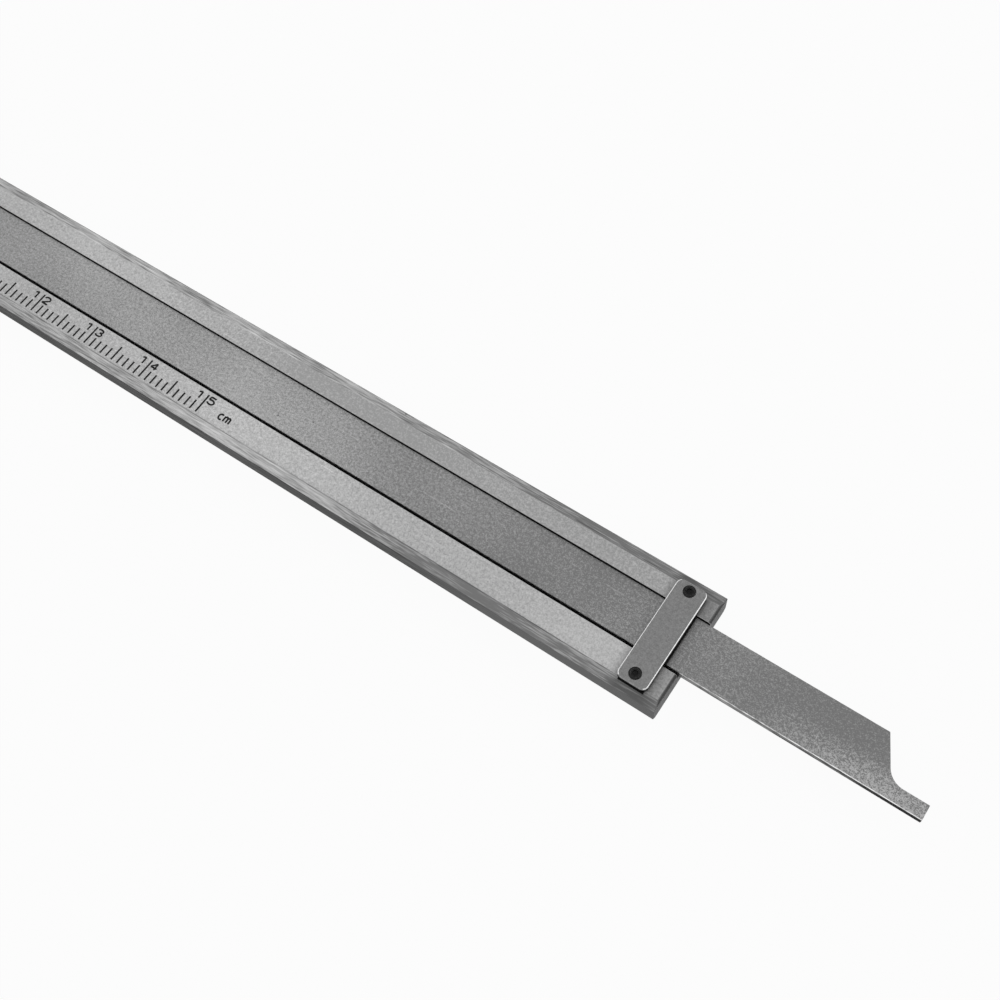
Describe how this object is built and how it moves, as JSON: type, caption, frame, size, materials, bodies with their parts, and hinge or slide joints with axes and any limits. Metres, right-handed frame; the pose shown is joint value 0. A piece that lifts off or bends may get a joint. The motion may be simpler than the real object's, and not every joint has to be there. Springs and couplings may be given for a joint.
{
  "type": "dial caliper",
  "caption": "Dial caliper: a slider with a geared dial runs on a grooved steel beam, with outside jaws, inside jaws and a depth bar.",
  "frame": {"origin": "corner where the fixed outside jaw's measuring face meets the beam's lower edge, at the beam's back face", "axes": "+X along the beam towards its far end, +Y across the beam towards the inside jaws, +Z out of the dial"},
  "size_m": [0.2674, 0.0734, 0.016],
  "materials": {
    "beam_steel": "satin ground stainless steel with a fine mottle",
    "slider_steel": "satin stainless steel",
    "bar_steel": "matte stainless steel, darker than the beam",
    "plate_steel": "matte stainless steel with bright rolled edges",
    "hardened_steel": "fine machined steel",
    "blued_steel": "blued spring steel",
    "black_screw": "black oxide",
    "brass": "satin brass",
    "knob_metal": "satin chrome",
    "dial_white": "matte white enamel with black graduations",
    "pointer_black": "matte black lacquer",
    "crystal_clear": "clear polished crystal"
  },
  "bodies": {
    "frame": {"beam": "beam_steel", "rack": "hardened_steel", "rack_pins": "hardened_steel", "end_plate": "plate_steel", "end_screws": "black_screw"},
    "slider": {"slider_frame": "slider_steel", "back_plate": "slider_steel", "back_screws": "hardened_steel", "gib": "brass", "gib_screws": "black_screw", "depth_bar": "bar_steel", "depth_screws": "hardened_steel", "roller_pin": "hardened_steel", "dial_case": "slider_steel", "case_screws": "hardened_steel", "pinion_bush": "brass", "pillars": "brass", "bridge": "brass", "bridge_screws": "black_screw", "bezel_spring": "hardened_steel", "hairspring": "blued_steel", "spring_stud": "brass", "clamp_shoe": "knob_metal"},
    "drive": {"drive_pinion": "hardened_steel", "drive_wheel": "brass"},
    "centre": {"centre_pinion": "hardened_steel", "pointer": "pointer_black"},
    "takeup": {"takeup_arbor": "hardened_steel", "takeup_wheel": "brass", "spring_collet": "brass"},
    "dial": {"bezel": "knob_metal", "dial_face": "dial_white", "spacer_ring": "knob_metal", "crystal": "crystal_clear"},
    "lock": {"lock_screw": "knob_metal"},
    "clamp": {"clamp_screw": "knob_metal"},
    "roller": {"thumb_roller": "knob_metal"}
  },
  "joints": [
    {"name": "slider_slide", "type": "slide", "parent": "frame", "child": "slider", "axis": [1, 0, 0], "range_m": [-0.03, 0.12]},
    {"name": "drive_spin", "type": "hinge", "parent": "slider", "child": "drive", "pos_m": [0.058, 0.00861, 0.005], "axis": [0, 0, 1], "range_deg": [-1080, 4320]},
    {"name": "centre_spin", "type": "hinge", "parent": "slider", "child": "centre", "pos_m": [0.064, 0.00861, 0.008], "axis": [0, 0, 1], "range_deg": [-8640, 2160]},
    {"name": "takeup_spin", "type": "hinge", "parent": "slider", "child": "takeup", "pos_m": [0.07013, 0.01375, 0.008], "axis": [0, 0, 1], "range_deg": [-720, 2880], "deforming": ["hairspring"]},
    {"name": "dial_spin", "type": "hinge", "parent": "slider", "child": "dial", "pos_m": [0.064, 0.00861, 0.01], "axis": [0, 0, 1], "continuous": true},
    {"name": "lock_turn", "type": "hinge", "parent": "slider", "child": "lock", "pos_m": [0.0835, 0.0206, 0.0018], "axis": [0, 1, 0], "range_deg": [0, 270]},
    {"name": "clamp_turn", "type": "hinge", "parent": "slider", "child": "clamp", "pos_m": [0.04873, 0.02388, 0.008], "axis": [0, 0, 1], "range_deg": [0, 180]},
    {"name": "roller_spin", "type": "hinge", "parent": "slider", "child": "roller", "pos_m": [0.087, -0.00405, 0.0018], "axis": [0, 0, 1], "range_deg": [-430, 1720]}
  ],
  "couplings": [
    {"joint": "drive_spin", "follows": "slider_slide", "rad_per_m": 628.32},
    {"joint": "centre_spin", "follows": "slider_slide", "rad_per_m": -1256.6},
    {"joint": "takeup_spin", "follows": "slider_slide", "rad_per_m": 418.88},
    {"joint": "roller_spin", "follows": "slider_slide", "rad_per_m": 250}
  ]
}
